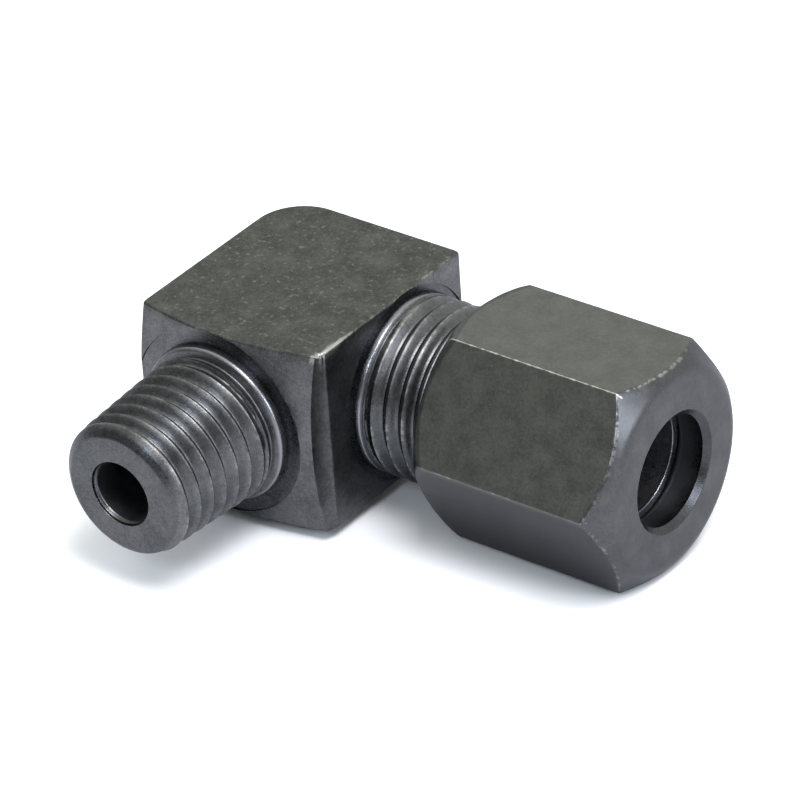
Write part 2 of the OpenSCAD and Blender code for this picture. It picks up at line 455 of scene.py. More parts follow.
def worked(base: bpy.types.Object, steps: Sequence[tuple[Cut, bpy.types.Object]]) -> None:
    """Join bodies to a base and cut bodies from it, and remove them from the scene.

    Args:
        base: the body that is worked.
        steps: what is done with each other body, in order.
    """
    for cut, tool in steps:
        step = base.modifiers.new(cut.name, "BOOLEAN")
        step.operation = cut.value
        step.solver = "MANIFOLD"
        step.object = tool
        graph = bpy.context.evaluated_depsgraph_get()
        result = bpy.data.meshes.new_from_object(base.evaluated_get(graph))
        base.modifiers.clear()
        old = base.data
        base.data = result
        bpy.data.meshes.remove(old)
        bpy.data.objects.remove(tool)
    base.data.name = base.name


def finish_shading(piece: bpy.types.Object, crease: float) -> None:
    """Shade a piece smoothly up to a crease angle, and keep its flat faces flat.

    Args:
        piece: the piece.
        crease: the angle between faces, in degrees, above which an edge stays sharp.
    """
    mesh = piece.data
    mesh.polygons.foreach_set("use_smooth", np.ones(len(mesh.polygons), bool))
    mesh.set_sharp_from_angle(angle=math.radians(crease))
    weighted = piece.modifiers.new("flat faces stay flat", "WEIGHTED_NORMAL")
    weighted.keep_sharp = True


def give_masks(piece: bpy.types.Object, **masks: np.ndarray | float) -> None:
    """Store numbers from 0 to 1 in the mesh, under names that the materials read.

    Args:
        piece: the piece.
        masks: by name, one number for each vertex or one for all of them.
    """
    count = len(piece.data.vertices)
    for name, values in masks.items():
        layer = piece.data.attributes.new(name, "FLOAT", "POINT")
        held = np.broadcast_to(limited(values), count)
        layer.data.foreach_set("value", held.astype(np.float32))


def points_mm(piece: bpy.types.Object) -> np.ndarray:
    """Return a piece's vertices in millimetres from the crossing."""
    flat = np.zeros(len(piece.data.vertices) * 3, np.float32)
    piece.data.vertices.foreach_get("co", flat)
    return flat.reshape(-1, 3).astype(float) / MM - crossing()


@dataclass(frozen=True)
class Root:
    """Where an arm leaves the block: the face's station, the collar and the hollow round it."""

    axis: Axis
    face: float
    collar_r: float
    collar_w: float
    hollow_w: float


@dataclass
class Elbow:
    """The block with its threaded stud and its arm for the tube, in one piece.

    Lengths are in millimetres, angles in degrees. A reach, a face, a stop or a first crest is a
    station on its arm's axis.
    """

    block_t: float = 11.0
    back_side: float = 5.1
    heel_side: float = 5.1
    heel_r: float = 2.8
    nut_face: float = 6.4
    stud_face: float = 8.4
    inner_side_x: float = 6.1
    inner_side_y: float = 5.2
    inner_r: float = 3.0
    face_cone_r: float = 5.5
    face_cone_angle: float = 18.0
    edge_r: float = 0.17
    corner_r: float = 0.34
    burr_from: float = -7.7
    burr_to: float = -3.8
    burr_fades: tuple[float, float] = (0.3, 2.2)
    burr_depth: float = 0.06
    burr_reach: float = 0.5
    recess_depth: float = 0.1
    recess_dish: float = 0.005
    recess_lean: float = 0.01
    stud_reach: float = 16.7
    stud_d: float = 7.92
    stud_taper: float = 0.05
    stud_first: float = 15.1
    stud_nose_r: float = 3.26
    stud_nose_len: float = 0.22
    stud_nose_slope: float = 1.3
    stud_nose_ease: float = 0.3
    stud_collar_r: float = 4.54
    stud_collar_w: float = 0.45
    stud_hollow_w: float = 0.9
    stud_groove_lead: float = 0.16
    stud_groove_w: float = 0.24
    stud_groove_depths: tuple[float, float] = (0.27, 0.24)
    stud_run_out: float = 0.66
    stud_fade_in: float = 0.9
    stud_fade_out: float = 0.6
    stud_faded: float = 0.35
    stud_start: float = 0.5
    stud_bore_r: float = 1.75
    mouth_r: float = 1.87
    mouth_len: float = 0.3
    arm_reach: ClassVar[float] = 15.0
    arm_d: float = 10.0
    arm_collar_r: float = 5.03
    arm_collar_w: float = 0.4
    arm_hollow_w: float = 0.42
    arm_groove_w: float = 0.24
    arm_groove_depth: float = 0.2
    arm_fade_in: float = 0.5
    arm_chamfer: float = 0.6
    arm_start: float = 2.0
    tube_stop: float = 9.5
    socket_r: float = 3.05
    cone_mouth_r: float = 3.75
    cone_angle: float = 24.0
    flow_r: float = 2.25
    blend_w: float = 0.2
    edge_wear: float = 0.42
    crest_wear: float = 0.3
    inner_turned: float = 0.8
    thin_coat: float = 0.5
    # Painted shade in the roots' hollows, in the arm's grooves, on the arm's underside and on the
    # stud's end
    root_stain: float = 0.5
    groove_stain: float = 0.3
    under_stain: float = 0.8
    end_stain: float = 0.45
    crease: float = 34.0
    # How far off a surface a point of the mesh may lie and still count to it
    slack: float = 0.05
    # Depths of the worn band on a thread's crests, and of where the painted shade in a groove
    # begins
    stud_band: float = 0.14
    arm_band: float = 0.12
    groove_from: float = 0.14
    # Radii by which the masks tell an arm's thread from its bore and from the face round it
    stud_inner: float = 2.5
    stud_outer: float = 5.0
    arm_inner: float = 4.4
    arm_outer: float = 5.3
    stud_thread: Thread = STUD_THREAD
    arm_thread: Thread = ARM_THREAD

    def roots(self) -> list[Root]:
        """Return the roots of the stud and of the tube arm."""
        return [Root(STUD_AXIS, self.stud_face, self.stud_collar_r, self.stud_collar_w,
                     self.stud_hollow_w),
                Root(TUBE_AXIS, self.nut_face, self.arm_collar_r, self.arm_collar_w,
                     self.arm_hollow_w)]

    def stud_crest(self, station: np.ndarray | float) -> np.ndarray | float:
        """Return the radius of the stud's tapered crests at a station."""
        return self.stud_d / 2 + self.stud_taper * (self.stud_first - station)

    def outline(self, height: np.ndarray, inset: np.ndarray) -> np.ndarray:
        """Return the block's outline, seen from above, at several heights.

        The stud's side lies at stud_face less (rho - face_cone_r) tan(face_cone_angle), where rho
        is the distance from the stud's axis and no less than face_cone_r. The heel is an arc, and
        the hollow between the bar's arms is an arc that bends the other way.

        Args:
            height: (k,) heights over the axes' plane.
            inset: (k,) how far all sides are moved inwards there.

        Returns:
            An array (k, n, 2) of points, anticlockwise from above.
        """
        height, inset = height[:, None], inset[:, None]
        fall = math.tan(math.radians(self.face_cone_angle))

        def stud_side(x: np.ndarray) -> np.ndarray:
            """Return y on the stud's side."""
            rho = np.hypot(x, height)
            return np.maximum(rho - self.face_cone_r, 0) * fall - self.stud_face + inset

        def line(x: np.ndarray, y: np.ndarray) -> np.ndarray:
            """Return points from coordinates that may lack the dimension of the heights."""
            shape = (len(height), max(np.shape(x)[-1], np.shape(y)[-1]))
            return np.stack([np.broadcast_to(x, shape), np.broadcast_to(y, shape)], axis=-1)

        heel = np.radians(np.linspace(90, 180, 15))
        heel_x = -self.back_side + self.heel_r + (self.heel_r - inset) * np.cos(heel)
        heel_y = self.heel_side - self.heel_r + (self.heel_r - inset) * np.sin(heel)

        # The hollow's arc starts where it meets the stud's side, which is found in three rounds
        hollow_x, hollow_y = self.inner_side_x + self.inner_r, -self.inner_side_y - self.inner_r
        hollow_r = self.inner_r + inset
        reach = np.arccos((self.nut_face - inset - hollow_x) / hollow_r)
        right = self.inner_side_x - inset
        for _ in range(3):
            start = math.pi - np.arcsin((stud_side(right) - hollow_y) / hollow_r)
            right = hollow_x + hollow_r * np.cos(start)
        # Its first and last steps are longer, to leave room for the eased corners
        along = np.concatenate([[0], np.linspace(0.13, 0.87, 20), [1]])
        bend = start + (reach - start) * along
        bend_x, bend_y = hollow_x + hollow_r * np.cos(bend), hollow_y + hollow_r * np.sin(bend)
        left = -self.back_side + inset
        face_x = left + (right - left) * np.linspace(0, 1, 33)
        nut_x, top_y = self.nut_face - inset, self.heel_side - inset
        rises = np.linspace(0.04, 0.96, 26)
        right_y = bend_y[:, -1:] + (top_y - bend_y[:, -1:]) * rises
        parts = [line(nut_x, top_y), line(heel_x, heel_y), line(face_x, stud_side(face_x)),
                 line(bend_x, bend_y), line(nut_x, right_y)]
        count = [part.shape[1] for part in parts]
        corner = np.zeros(sum(count))
        corner[[0, sum(count[:2]), sum(count[:3]) - 1]] = self.corner_r
        corner[sum(count[:4]) - 1] = self.edge_r
        return eased(np.concatenate(parts, axis=1), corner, closed=True)

    def burred(self, points: np.ndarray) -> np.ndarray:
        """Push the burr that a file left along the top edge over the stud's inner side.

        A point sinks towards the inside, where it is nearer to that edge than burr_reach. The
        amount is burr_depth and two uneven waves along the edge, and it fades at both ends.

        Args:
            points: (n, 3) points of the block.

        Returns:
            The points, pushed in near the burr.
        """
        x, y, z = points.T
        fade_from, fade_to = self.burr_fades
        share = limited((self.burr_to - y) / fade_to) * limited((y - self.burr_from) / fade_from)
        near = limited(1 - (self.block_t / 2 - z) / self.burr_reach)
        near = near * limited(1 - (self.inner_side_x - x) / self.burr_reach)
        depth = self.burr_depth + 0.05 * waver(y * 6, 0.7) + 0.03 * waver(y * 19, 2.2)
        sink = near * share * depth
        return points - sink[:, None] * np.array([0.8, 0.0, 1.0])

    def block(self) -> bpy.types.Object:
        """Make the block, with rounded edges.

        The rows climb from the underside to the top. On an edge, a quarter circle, the outline is
        inset by r (1 - cos a) at the height half - r (1 - sin a). On the flat top it shrinks
        towards the middle.

        Returns:
            The block, closed.
        """
        half = self.block_t / 2
        turn = np.radians(np.linspace(0, 90, 6))
        side = np.linspace(-(half - self.edge_r), half - self.edge_r, 25)
        round_h = half - self.edge_r * (1 - np.sin(turn[1:]))
        round_i = self.edge_r * (1 - np.cos(turn[1:]))
        height = np.concatenate([-round_h[::-1], side, round_h])
        inset = np.concatenate([round_i[::-1], np.zeros_like(side), round_i])
        rim = self.outline(height, inset)
        # All of the outline can be seen from here, so the rows on the flats don't cross
        middle = np.array([0.3, -1.5])
        shares = np.array([0.985, 0.96, 0.9, 0.75, 0.5, 0.25, 0.0])
        top = middle + (rim[-1] - middle) * shares[:, None, None]
        low = middle + (rim[0] - middle) * shares[::-1, None, None]
        rows = np.concatenate([low, rim, top])
        flat = np.full(len(shares), half)
        levels = np.concatenate([-flat, height, flat])
        heights = np.repeat(levels[:, None], rows.shape[1], axis=1)
        grid = np.concatenate([rows, heights[..., None]], axis=-1)
        index = np.arange(grid.shape[0] * grid.shape[1]).reshape(grid.shape[:2])
        quads = grid_quads(np.concatenate([index, index[:, :1]], axis=1))
        points, faces = weld(grid.reshape(-1, 3), quads)
        return mesh_object("block", self.burred(points), faces)

    def recess(self, root: Root) -> bpy.types.Object:
        """Make the body that the tool's hollow round an arm's root is cut with.

        Its floor is dished towards the axis, its wall leans out, and it opens out over the face.

        Args:
            root: the arm's root.

        Returns:
            The body, closed.
        """
        face, rim = root.face, root.collar_r + root.hollow_w
        floor = face - self.recess_depth
        shares = np.array([0.05, 0.2, 0.4, 0.6, 0.8])
        dish = np.stack([floor - self.recess_dish * (1 - shares),
                         root.collar_r + root.hollow_w * shares], axis=1)
        wall = [[floor, rim - self.recess_lean], [face, rim]]
        over = [[face + 1, rim + 0.2], [face + 1, 0]]
        line = np.concatenate([[[floor - self.recess_dish, 0]], dish, wall, over])
        return Skin(root.axis, ring_angles(RING_COLUMNS)).rings(line).made("recess")

    def stud(self) -> bpy.types.Object:
        """Make the stud: collar, run-out groove, tapered thread and rounded nose.

        The radius is the rounded lesser of the nose's chamfer and of the thread: the crest line,
        which grows by stud_taper for each millimetre towards the block, less the thread's depth
        times its fall. The depth fades in at the nose and fades out at the groove.

        Returns:
            The stud, closed, from inside the block to its end.
        """
        thread = self.stud_thread
        end = self.stud_face + self.stud_collar_w
        groove, start = end + self.stud_groove_lead, end + self.stud_run_out
        stop = self.stud_reach - self.stud_nose_len
        near, far = self.stud_groove_depths
        line = np.array([
            [self.stud_start, 0], [self.stud_start, self.stud_collar_r],
            [end, self.stud_collar_r],
            [groove, self.stud_crest(groove) - near],
            [groove + self.stud_groove_w, self.stud_crest(groove) - far],
            [start, self.stud_crest(start)]])
        inner = eased(line, [0, 0, 0.22, 0.1, 0.1, 0], 7)

        def nose_r(station: np.ndarray | float) -> np.ndarray | float:
            """Return the radius of the nose's chamfer at a station."""
            return self.stud_nose_r + self.stud_nose_slope * (self.stud_reach - station)

        nose = np.array([[stop, nose_r(stop)], [self.stud_reach, self.stud_nose_r],
                         [self.stud_reach, 0]])
        outer = eased(nose, [0, 0.2, 0], 9)

        def shape(station: np.ndarray, angle: np.ndarray) -> np.ndarray:
            """Return the threaded radius."""
            fade_in = limited((stop - station) / self.stud_fade_in)
            fade_out = limited((station - start) / self.stud_fade_out)
            fade_out = self.stud_faded + (1 - self.stud_faded) * fade_out
            rim = limited((station - start) / 0.08)
            depth = thread.depth * fade_in * fade_out * rim
            cut = self.stud_crest(station) - depth * thread.fall(station, angle)
            return soft_least(cut, nose_r(station), self.stud_nose_ease)

        skin = Skin(STUD_AXIS, ring_angles(THREAD_COLUMNS))
        return skin.rings(inner).thread(thread, start, stop, shape).rings(outer).made("stud")

    def tube_arm(self) -> bpy.types.Object:
        """Make the tube arm: collar, thread and chamfered end.

        The radius is the crest's, less the thread's depth times its fall, and no more than the
        chamfer's, which drops by as much as it is long.

        Returns:
            The arm, closed, from inside the block to its end.
        """
        thread = self.arm_thread
        end = self.nut_face + self.arm_collar_w
        crest = self.arm_d / 2
        floor = crest - self.arm_groove_depth
        start, stop = end + self.arm_groove_w, self.arm_reach - self.arm_chamfer
        line = np.array([[self.arm_start, 0], [self.arm_start, self.arm_collar_r],
                         [end, self.arm_collar_r], [end + 0.14, floor], [start, floor]])
        inner = eased(line, [0, 0, 0.3, 0.06, 0], 7)

        def shape(station: np.ndarray, angle: np.ndarray) -> np.ndarray:
            """Return the threaded radius."""
            fade = limited((station - start) / self.arm_fade_in)
            sunk = self.arm_groove_depth * limited(1 - (station - start) / 0.12)
            chamfered = crest - np.maximum(station - stop, 0)
            cut = crest - thread.depth * fade * thread.fall(station, angle)
            return np.minimum(np.minimum(cut, crest - sunk), chamfered)

        skin = Skin(TUBE_AXIS, ring_angles(THREAD_COLUMNS))
        skin.rings(inner).thread(thread, start, self.arm_reach, shape)
        end_r = crest - self.arm_chamfer
        skin.rings(np.array([[self.arm_reach, end_r], [self.arm_reach, 0.0]]))
        return skin.made("tube_arm")

    def tube_way(self) -> bpy.types.Object:
        """Make the body that the tube's way is cut with: cone, socket, stop and flow bore."""
        slope = math.tan(math.radians(self.cone_angle / 2))
        cone = (self.cone_mouth_r - self.socket_r) / slope
        line = np.array([
            [0, 0], [0, self.flow_r], [self.tube_stop, self.flow_r],
            [self.tube_stop, self.socket_r], [self.arm_reach - cone, self.socket_r],
            [self.arm_reach, self.cone_mouth_r], [self.arm_reach + 0.4, self.cone_mouth_r + 0.3],
            [self.arm_reach + 0.4, 0]])
        rounded = eased(line, [0, 0, 0.06, 0.04, 0.1, 0.08, 0, 0])
        return Skin(TUBE_AXIS, ring_angles(BORE_COLUMNS)).rings(rounded).made("tube_way")

    def stud_way(self) -> bpy.types.Object:
        """Make the body that the stud's bore is cut with, with its eased mouth."""
        back, end = -self.flow_r + 0.4, self.stud_reach
        line = np.array([
            [back, 0], [back, self.stud_bore_r], [end - self.mouth_len, self.stud_bore_r],
            [end - 0.16, self.mouth_r], [end, self.mouth_r], [end + 0.2, self.mouth_r + 0.22],
            [end + 0.2, 0]])
        rounded = eased(line, [0, 0, 0.06, 0.06, 0.08, 0, 0])
        return Skin(STUD_AXIS, ring_angles(BORE_COLUMNS)).rings(rounded).made("stud_way")

    def from_bar_side(self, x: np.ndarray, y: np.ndarray) -> np.ndarray:
        """Return how far a point lies inside the bar's two outer sides and its round heel.

        It is heel_r less the distance from the heel's centre, where only what lies beyond the
        centre towards either side counts.

        Args:
            x: distances along the tube's axis.
            y: distances against the stud's axis.

        Returns:
            The depths under the bar's outside; less than 0 outside it.
        """
        across = np.minimum(x + self.back_side - self.heel_r, 0)
        up = np.maximum(y - self.heel_side + self.heel_r, 0)
        return self.heel_r - np.hypot(across, up)

    def wear(self, points: np.ndarray) -> np.ndarray:
        """Work out how worn the block's edges and the threads' crests are.

        On the block it is highest on an edge and falls to 0 at blend_w from it, where the
        distance from an edge is the greater of the distances from its two faces. The filed burr
        is bare, other edges are hardly worn.

        Args:
            points: (n, 3) points of the elbow.

        Returns:
            0 where the coating is whole, up to 1 where it is gone.
        """
        half = self.block_t / 2
        x, y, z = points.T
        from_top = half - np.abs(z)
        from_turned = np.minimum(self.nut_face - x, y + self.stud_face)
        from_side = np.minimum(from_turned, self.from_bar_side(x, y))
        off_edge = np.maximum(np.maximum(from_top, from_side), 0)
        block = self.edge_wear * limited(1 - off_edge / self.blend_w)

        # The burr's edge runs out of the inner side and along the hollow's arc
        along = limited((self.burr_to - y) / 2.0)
        bend = np.clip(y + self.inner_side_y + self.inner_r, 0, self.inner_r)
        edge_x = self.inner_side_x + self.inner_r - np.sqrt(self.inner_r ** 2 - bend ** 2)
        off_burr = np.maximum(half - z, np.minimum(edge_x, self.nut_face) - x)
        burr = along * limited(1.3 - off_burr / (0.08 + 0.2 * along)) * (x > 4)

        station, radius, _ = STUD_AXIS.read(points)
        crest = self.stud_crest(station)
        on_stud = (station > self.stud_face + self.slack) & (radius < self.stud_outer)
        stud = self.crest_wear * limited(1 - (crest - radius - 0.01) / self.stud_band)
        stud = stud * (radius < crest + 0.02)
        station, radius, _ = TUBE_AXIS.read(points)
        on_arm = (station > self.nut_face + self.slack) & (radius < self.arm_outer)
        arm = self.crest_wear * limited(1 - (self.arm_d / 2 - radius - 0.01) / self.arm_band)

        # The arm's collar is less worn than its crests
        arm = arm * np.where(station < self.nut_face + self.arm_collar_w + 0.1, 0.4, 1)
        return np.where(on_stud, stud, np.where(on_arm, arm, np.maximum(block, burr)))

    def turned(self, points: np.ndarray) -> np.ndarray:
        """Work out where the lathe has been.

        Args:
            points: (n, 3) points of the elbow.

        Returns:
            1 on turned faces, 0 on the bar's drawn sides, and inner_turned on the inner side.
        """
        x, y, z = points.T
        half = self.block_t / 2
        from_drawn = np.minimum(half - np.abs(z), self.from_bar_side(x, y))
        inner = (x > self.inner_side_x - self.slack) & (y < -self.inner_side_y)
        lathe = limited(from_drawn / self.blend_w)
        inner = inner & (y > -self.stud_face + 0.3)
        return np.where(inner, self.inner_turned * lathe, lathe)

    def clean(self, points: np.ndarray) -> np.ndarray:
        """Work out where the coating is thin: in the bores and on the collars' edges.

        Args:
            points: (n, 3) points of the elbow.

        Returns:
            thin_coat where it is thin, 0 elsewhere.
        """
        station, radius, _ = TUBE_AXIS.read(points)
        inside = radius < self.cone_mouth_r + self.slack
        socket = (station > 0) & (station < self.arm_reach - 0.02) & inside
        station, radius, _ = STUD_AXIS.read(points)
        inside = radius < self.stud_bore_r + self.slack
        bore = (station > 0) & (station < self.stud_reach - self.mouth_len) & inside
        bright = self.thin_coat * (socket | bore)
        for root in self.roots():
            station, radius, _ = root.axis.read(points)
            here = (radius < root.collar_r + 0.03) & (station < root.face + root.collar_w + 0.02)
            edge = limited((radius - root.collar_r + 0.16) / 0.1)
            edge = edge * limited((station - root.face - root.collar_w / 4) / 0.1)
            bright = np.maximum(bright, np.where(here, self.thin_coat * edge, 0))
        return bright

    def stain(self, points: np.ndarray) -> np.ndarray:
        """Work out the painted shade on the elbow.

        Shade and dark reflection are painted into the hollows round the two roots and onto the
        stud's side under the stud, least on the side away from the nut. Shade is painted into the
        threads' grooves, more so underneath, onto the arm's underside, and thinly onto the stud's
        end.

        Args:
            points: (n, 3) points of the elbow.

        Returns:
            0 where there is none, up to 1 where the painted shade covers the steel.
        """
        stained = np.zeros(len(points))
        # Painted shade and dark reflection in the roots' hollows and, for the stud, on its side
        # below it
        for root in self.roots():
            station, radius, angle = root.axis.read(points)
            here = (np.abs(station - root.face) < 0.6) & (radius > root.collar_r - self.slack)
            rim = root.collar_r + root.hollow_w
            soft = self.root_stain * limited((rim - radius) / 0.06)
            if root.axis is STUD_AXIS:
                below = limited(1 - (radius - rim) / 2.0)
                below = self.root_stain * below * limited(-2.2 * np.sin(angle) - 0.4)
                soft = np.maximum(soft, below) * limited(0.75 + 0.9 * np.cos(angle))
            stained = np.maximum(stained, np.where(here, soft, 0))
        # Painted shade in the stud's grooves, more on the underside, and evenly over the stud's
        # end
        station, radius, angle = STUD_AXIS.read(points)
        crest = self.stud_crest(station)
        cut = (station > self.stud_face + 0.5) & (radius > self.stud_inner)
        share = np.clip(0.45 - 0.9 * np.sin(angle), 0.15, 0.8)
        groove = limited((crest - radius - self.groove_from) / self.stud_band)
        groove = groove * (station < self.stud_reach - 0.6)
        stained = np.where(cut, np.maximum(share * groove, stained), stained)
        stained = np.where(station > self.stud_reach - 0.3, self.end_stain, stained)
        # Painted shade in the arm's grooves and on its underside
        station, radius, angle = TUBE_AXIS.read(points)
        cut = (station > self.nut_face + 0.1) & (radius > self.arm_inner)
        cut = cut & (radius < self.arm_outer)
        groove = limited((self.arm_d / 2 - radius - self.groove_from) / self.arm_band)
        groove = self.groove_stain * groove
        under = self.under_stain * limited((0.6 - np.sin(angle)) / 0.7)
        return np.where(cut, np.maximum(np.maximum(groove, under), stained), stained)

    def build(self) -> bpy.types.Object:
        """Build the whole elbow as one closed mesh, with the masks of its finish and of its
        painted shade.
        """
        body = self.block()
        body.name = "threaded_elbow"
        worked(body, [*((Cut.TAKE, self.recess(root)) for root in self.roots()),
                      (Cut.JOIN, self.stud()), (Cut.JOIN, self.tube_arm()),
                      (Cut.TAKE, self.tube_way()), (Cut.TAKE, self.stud_way())])
        finish_shading(body, self.crease)
        points = points_mm(body)
        give_masks(body, wear=self.wear(points), turned=self.turned(points),
                   stain=self.stain(points), clean=self.clean(points))
        return body


@dataclass
class UnionNut:
    """The hexagon nut with its chamfered ends, tube hole, cone and thread.

    Lengths are in millimetres, angles in degrees. Turn is how far the nut is turned at rest.
    Overshoot is how far outside the ridges the turned line lies between the two chamfers.
    """

    af: float = 12.0
    turn: float = -2.5
    front_r: float = 5.5
    front_angle: float = 39.5
    back_r: float = 5.68
    back_angle: float = 43.0
    hole_r: float = 3.08
    hole_len: float = 1.65
    mouth: float = 0.33
    thread_len: float = 6.4
    relief_r: float = 4.46
    bore_gap: float = 0.05
    overshoot: float = 0.4
    ridge_ease: float = 0.06
    edge_ease: float = 0.1
    ring_step: float = 0.09
    thread_mouth: float = 0.35
    run_out: float = 0.5
    rim_w: float = 0.15
    blend_w: float = 0.1
    # Painted shade on the lower flats, which mirror the floor in the nut's shadow
    under_stain: float = 0.7
    columns: int = 288
    crowding: float = 0.75
    crease: float = 40.0
    thread: Thread = ARM_THREAD

    # How worn the six ridges are, from the one on the side away from the stud, over the top
    ridge_wear: ClassVar[np.ndarray] = np.array([0.25, 0.42, 0.85, 0.3, 0.25, 0.25])

    def stations(self) -> tuple[float, float]:
        """Return the stations of the nut's back and front ends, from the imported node."""
        low, high = box_mm("union_nut")
        return float(low[0] - crossing()[0]), float(high[0] - crossing()[0])

    def angles(self) -> np.ndarray:
        """Return column angles that crowd at the six ridges: t - crowding sin(6t) / 6."""
        t = ring_angles(self.columns)
        return t - self.crowding * np.sin(6 * t) / 6 + math.radians(self.turn)

    def hexagon(self, station: np.ndarray, angle: np.ndarray) -> np.ndarray:
        """Return the radius of the hexagon's sides, with its ridges rounded unevenly.

        A side that faces angle f lies at half the width over cos(angle - f). The nearest two are
        joined by the rounded lesser value, and its ease wavers along the ridge.

        Args:
            station: stations along the tube's axis.
            angle: angles about it.

        Returns:
            The distances of the sides from the axis.
        """
        sixth = math.pi / 3
        local = angle - math.radians(self.turn) - sixth / 2
        nearest = local - np.round(local / sixth) * sixth
        other = nearest - np.where(nearest < 0, -sixth, sixth)
        ridge = np.round((local - sixth / 2) / sixth)
        ease = self.ridge_ease * (1 + 0.35 * waver(station * 2.1 + ridge * 3.7, 1.3))
        return soft_least(self.af / 2 / np.cos(nearest), self.af / 2 / np.cos(other), ease)

    def outside(self) -> np.ndarray:
        """Return the turned line from the back end's bore, over the outside, to the hole."""
        back, front = self.stations()
        mouth_r = self.thread_r() + self.thread_mouth
        outer = self.af / math.sqrt(3) + self.overshoot
        rise = (outer - self.back_r) * math.tan(math.radians(self.back_angle))
        drop = (outer - self.front_r) * math.tan(math.radians(self.front_angle))
        middle = (self.back_r + outer) / 2
        line = np.array([[back, mouth_r], [back, self.back_r],
                         [back + rise * 0.3, middle], [back + rise, outer],
                         [front - drop, outer], [front, self.front_r],
                         [front, self.hole_r + self.mouth], [front - self.mouth, self.hole_r]])
        return eased(line, [0, 0.2, 0.5, 0, 0, 0.34, 0.05, 0], 9)

    def thread_r(self) -> float:
        """Return the nut's thread radius at the roots of its grooves."""
        return Elbow.arm_d / 2 + self.bore_gap

    def build(self) -> bpy.types.Object:
        """Build the nut as one closed mesh, with the masks of its finish and of its painted shade.

        The section runs from the back bore over the outside to the front, down the mouth into the
        hole, along the cone and the plain bore, and back through the thread.

        Returns:
            The nut.
        """
        back, front = self.stations()
        thread_r = self.thread_r()
        thread_end = back + self.thread_len
        cone = front - self.hole_len
        skin = Skin(TUBE_AXIS, self.angles())

        def hexed(station: np.ndarray, radius: np.ndarray, angle: np.ndarray) -> np.ndarray:
            """Return the turned radius, cut by the hexagon."""
            ease = self.edge_ease * (1 + 0.4 * waver(angle * 7, 2.1))
            return soft_least(radius, self.hexagon(station, angle), ease)

        outside = self.outside()
        skin.rings(spaced(outside[:-6], self.ring_step), hexed)
        skin.rings(np.concatenate([outside[-7:], [[front - self.mouth, self.hole_r]]]))
        inside = np.array([[front - self.mouth, self.hole_r], [cone, self.hole_r],
                           [cone - (self.relief_r - self.hole_r), self.relief_r],
                           [thread_end + 0.3, self.relief_r], [thread_end, self.relief_r]])
        skin.rings(eased(inside, [0, 0.05, 0.08, 0, 0]))

        def threaded(station: np.ndarray, angle: np.ndarray) -> np.ndarray:
            """Return the radius inside the thread, which opens out at both ends."""
            groove = thread_r - self.thread.depth * self.thread.fall(station, angle)
            share = limited(1 - (thread_end - station) / self.run_out)
            mouth = thread_r + self.thread_mouth - (station - back)
            return np.maximum(groove + (self.relief_r - groove) * share, mouth)

        skin.thread(self.thread, thread_end, back, threaded)
        nut = skin.made("hex_union_nut")
        finish_shading(nut, self.crease)
        give_masks(nut, **self.masks(points_mm(nut)))
        return nut

    def masks(self, points: np.ndarray) -> dict[str, np.ndarray]:
        """Work out the masks of the nut's finish and of its painted shade.

        A ridge is worn by its own share, which falls to 0 a tenth of a millimetre off it. The
        front chamfer's edge is worn where its distances from the flat and from the chamfer are
        both small, most of all near the most worn ridge. Shade is painted on the lower flats and
        on the hole's mouth, and the hole is clean.

        Args:
            points: (n, 3) points of the nut.

        Returns:
            The masks by name, each from 0 to 1.
        """
        back, front = self.stations()
        station, radius, angle = TUBE_AXIS.read(points)
        local = angle - math.radians(self.turn)
        sixth = math.pi / 3
        nearest = np.round(local / sixth)
        share = self.ridge_wear[nearest.astype(int) % 6]
        off_ridge = np.abs(local - nearest * sixth) * radius
        width = 0.04 + 0.03 * waver(station * 5 + nearest * 2, 0.4)
        ridge = share * (0.8 + 0.3 * waver(station * 9, 1.9))
        ridge = ridge * limited(1.25 - off_ridge / width)
        side = self.af / 2 / np.cos(local - np.floor(local / sixth) * sixth - sixth / 2)
        from_side = np.maximum(side - radius, 0)
        fall = math.tan(math.radians(self.front_angle))
        out = np.maximum(radius - self.front_r, 0)
        from_front = np.maximum(front - out * fall - station, 0)
        rise = math.tan(math.radians(self.back_angle))
        from_back = np.maximum(station - back - (radius - self.back_r) * rise, 0)
        rim = limited(1.1 - (from_front + from_side) / self.rim_w) * (0.14 + 0.35 * share)
        outside = radius > self.front_r - 0.1
        flat = outside & (from_front > self.blend_w) & (from_back > self.blend_w)
        turned = np.where(flat, 0, 1)
        # Painted shade on the lower flats, and on the hole's mouth to dim its reflection
        under = self.under_stain * limited(0.8 - np.sin(angle) / 0.04)
        under = under * (radius > self.front_r)
        mouth = (station > front - self.mouth - 0.01) & (radius < self.hole_r + self.mouth + 0.03)
        return {"wear": np.where(outside, np.maximum(ridge * (from_side < 0.3), rim), 0),
                "turned": turned,
                "stain": np.maximum(under * (1 - turned), 0.5 * mouth),
                "clean": limited((self.hole_r + 0.15 - radius) / 0.1) * ~mouth}


